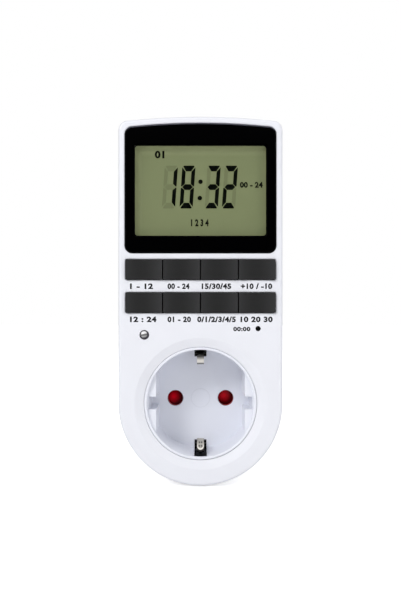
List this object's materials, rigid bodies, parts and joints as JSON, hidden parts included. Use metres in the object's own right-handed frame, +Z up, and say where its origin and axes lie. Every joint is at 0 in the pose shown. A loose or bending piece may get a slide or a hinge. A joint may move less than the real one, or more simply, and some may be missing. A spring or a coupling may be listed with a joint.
{
  "type": "plug-in timer switch",
  "caption": "Wall plug-in digital timer switch: tall white case with display, rows of black keys and an earthed socket in front, and a round plug boss with pins behind.",
  "frame": {"origin": "centre of the plug's end face, between the two pins and on the axis of the front socket", "axes": "+Y out of the plug face along the pins into the wall outlet, +Z up along the case, +X to the right seen from the front"},
  "size_m": [0.0578, 0.0771, 0.1299],
  "materials": {
    "case_white": "satin white moulded ABS, fine even moulding texture",
    "insert_white": "cooler glossy white moulded socket insert",
    "window_clear": "clear polished acrylic",
    "mask_black": "black screen print behind the window",
    "display_glass": "thin display glass",
    "reflector_green": "olive grey reflective film",
    "frame_white": "matt white moulding",
    "zebra_rubber": "layered conductive rubber strip",
    "key_rubber": "matt black silicone key",
    "mat_rubber": "dark silicone sheet",
    "led_clear": "clear moulded lens",
    "tinned": "tinned or nickel plated steel",
    "switch_black": "matt black moulding",
    "board_green": "solder masked glass fibre board",
    "crystal_can": "drawn metal can",
    "ribbon_grey": "flat cable insulation",
    "relay_plastic": "blue moulding",
    "coil_copper": "wound enamelled copper wire",
    "capacitor_yellow": "yellow box capacitor",
    "varistor_blue": "lacquered disc",
    "resistor_tan": "lacquered axial body",
    "fuse_white": "ceramic tube",
    "shutter_red": "deep red moulded plastic",
    "contact_brass": "stamped brass or bronze strip",
    "earth_nickel": "nickel plated spring strip",
    "pin_nickel": "nickel plated turned brass",
    "wire_live": "brown insulation",
    "wire_neutral": "blue insulation"
  },
  "bodies": {
    "case": {"front_housing": "case_white", "rear_housing": "case_white", "socket_insert": "insert_white", "display_window": "window_clear", "display_mask": "mask_black", "lcd_front_glass": "display_glass", "lcd_rear_glass": "display_glass", "lcd_reflector": "reflector_green", "lcd_frame": "frame_white", "zebra_connector": "zebra_rubber", "keypad_mat": "mat_rubber", "keypad_webs": "mat_rubber", "indicator_led": "led_clear", "led_leads": "tinned", "reset_switch": "switch_black", "logic_board": "board_green", "controller_blob": "switch_black", "quartz_crystal": "crystal_can", "backup_cell": "tinned", "board_ribbon": "ribbon_grey", "logic_board_screws": "tinned", "power_board": "board_green", "relay_base": "relay_plastic", "relay_coil": "coil_copper", "relay_yoke": "tinned", "relay_contacts": "contact_brass", "relay_cover": "relay_plastic", "film_capacitor": "capacitor_yellow", "smoothing_capacitor": "switch_black", "varistor": "varistor_blue", "rectifier_diodes": "switch_black", "resistors": "resistor_tan", "fuse": "fuse_white", "power_board_screws": "tinned", "shutter_spring": "tinned", "shutter_retainer": "insert_white", "retainer_screws": "tinned", "live_contact": "contact_brass", "neutral_contact": "contact_brass", "earth_bracket": "earth_nickel", "earth_rivet": "contact_brass", "plug_pin_live": "pin_nickel", "plug_pin_neutral": "pin_nickel", "plug_earth_strap": "earth_nickel", "wire_live_in": "wire_live", "wire_live_out": "wire_live", "wire_neutral": "wire_neutral", "housing_screws": "tinned"},
    "reset_button": {"reset_plunger": "switch_black"},
    "shutter": {"safety_shutter": "shutter_red"},
    "armature": {"relay_armature": "tinned"},
    "key_week_body": {"key_week": "key_rubber"},
    "key_hour_body": {"key_hour": "key_rubber"},
    "key_minute_body": {"key_minute": "key_rubber"},
    "key_recall_body": {"key_recall": "key_rubber"},
    "key_clock_body": {"key_clock": "key_rubber"},
    "key_timer_body": {"key_timer": "key_rubber"},
    "key_override_body": {"key_override": "key_rubber"},
    "key_random_body": {"key_random": "key_rubber"}
  },
  "joints": [
    {"name": "key_week_press", "type": "slide", "parent": "case", "child": "key_week_body", "axis": [0, 1, 0], "range_m": [0, 0.0008], "stiffness_N_per_m": 1500, "deforming": ["keypad_webs"]},
    {"name": "key_hour_press", "type": "slide", "parent": "case", "child": "key_hour_body", "axis": [0, 1, 0], "range_m": [0, 0.0008], "stiffness_N_per_m": 1500, "deforming": ["keypad_webs"]},
    {"name": "key_minute_press", "type": "slide", "parent": "case", "child": "key_minute_body", "axis": [0, 1, 0], "range_m": [0, 0.0008], "stiffness_N_per_m": 1500, "deforming": ["keypad_webs"]},
    {"name": "key_recall_press", "type": "slide", "parent": "case", "child": "key_recall_body", "axis": [0, 1, 0], "range_m": [0, 0.0008], "stiffness_N_per_m": 1500, "deforming": ["keypad_webs"]},
    {"name": "key_clock_press", "type": "slide", "parent": "case", "child": "key_clock_body", "axis": [0, 1, 0], "range_m": [0, 0.0008], "stiffness_N_per_m": 1500, "deforming": ["keypad_webs"]},
    {"name": "key_timer_press", "type": "slide", "parent": "case", "child": "key_timer_body", "axis": [0, 1, 0], "range_m": [0, 0.0008], "stiffness_N_per_m": 1500, "deforming": ["keypad_webs"]},
    {"name": "key_override_press", "type": "slide", "parent": "case", "child": "key_override_body", "axis": [0, 1, 0], "range_m": [0, 0.0008], "stiffness_N_per_m": 1500, "deforming": ["keypad_webs"]},
    {"name": "key_random_press", "type": "slide", "parent": "case", "child": "key_random_body", "axis": [0, 1, 0], "range_m": [0, 0.0008], "stiffness_N_per_m": 1500, "deforming": ["keypad_webs"]},
    {"name": "reset_press", "type": "slide", "parent": "case", "child": "reset_button", "axis": [0, 1, 0], "range_m": [0, 0.0005], "stiffness_N_per_m": 1500},
    {"name": "shutter_turn", "type": "hinge", "parent": "case", "child": "shutter", "pos_m": [0, -0.034, 0], "axis": [0, -1, 0], "range_deg": [0, 40], "stiffness_Nm_per_rad": 0.002},
    {"name": "armature_pull", "type": "hinge", "parent": "case", "child": "armature", "pos_m": [-0.0171, -0.0371, 0.07295], "axis": [0, 0, 1], "range_deg": [0, 4], "stiffness_Nm_per_rad": 0.02}
  ]
}
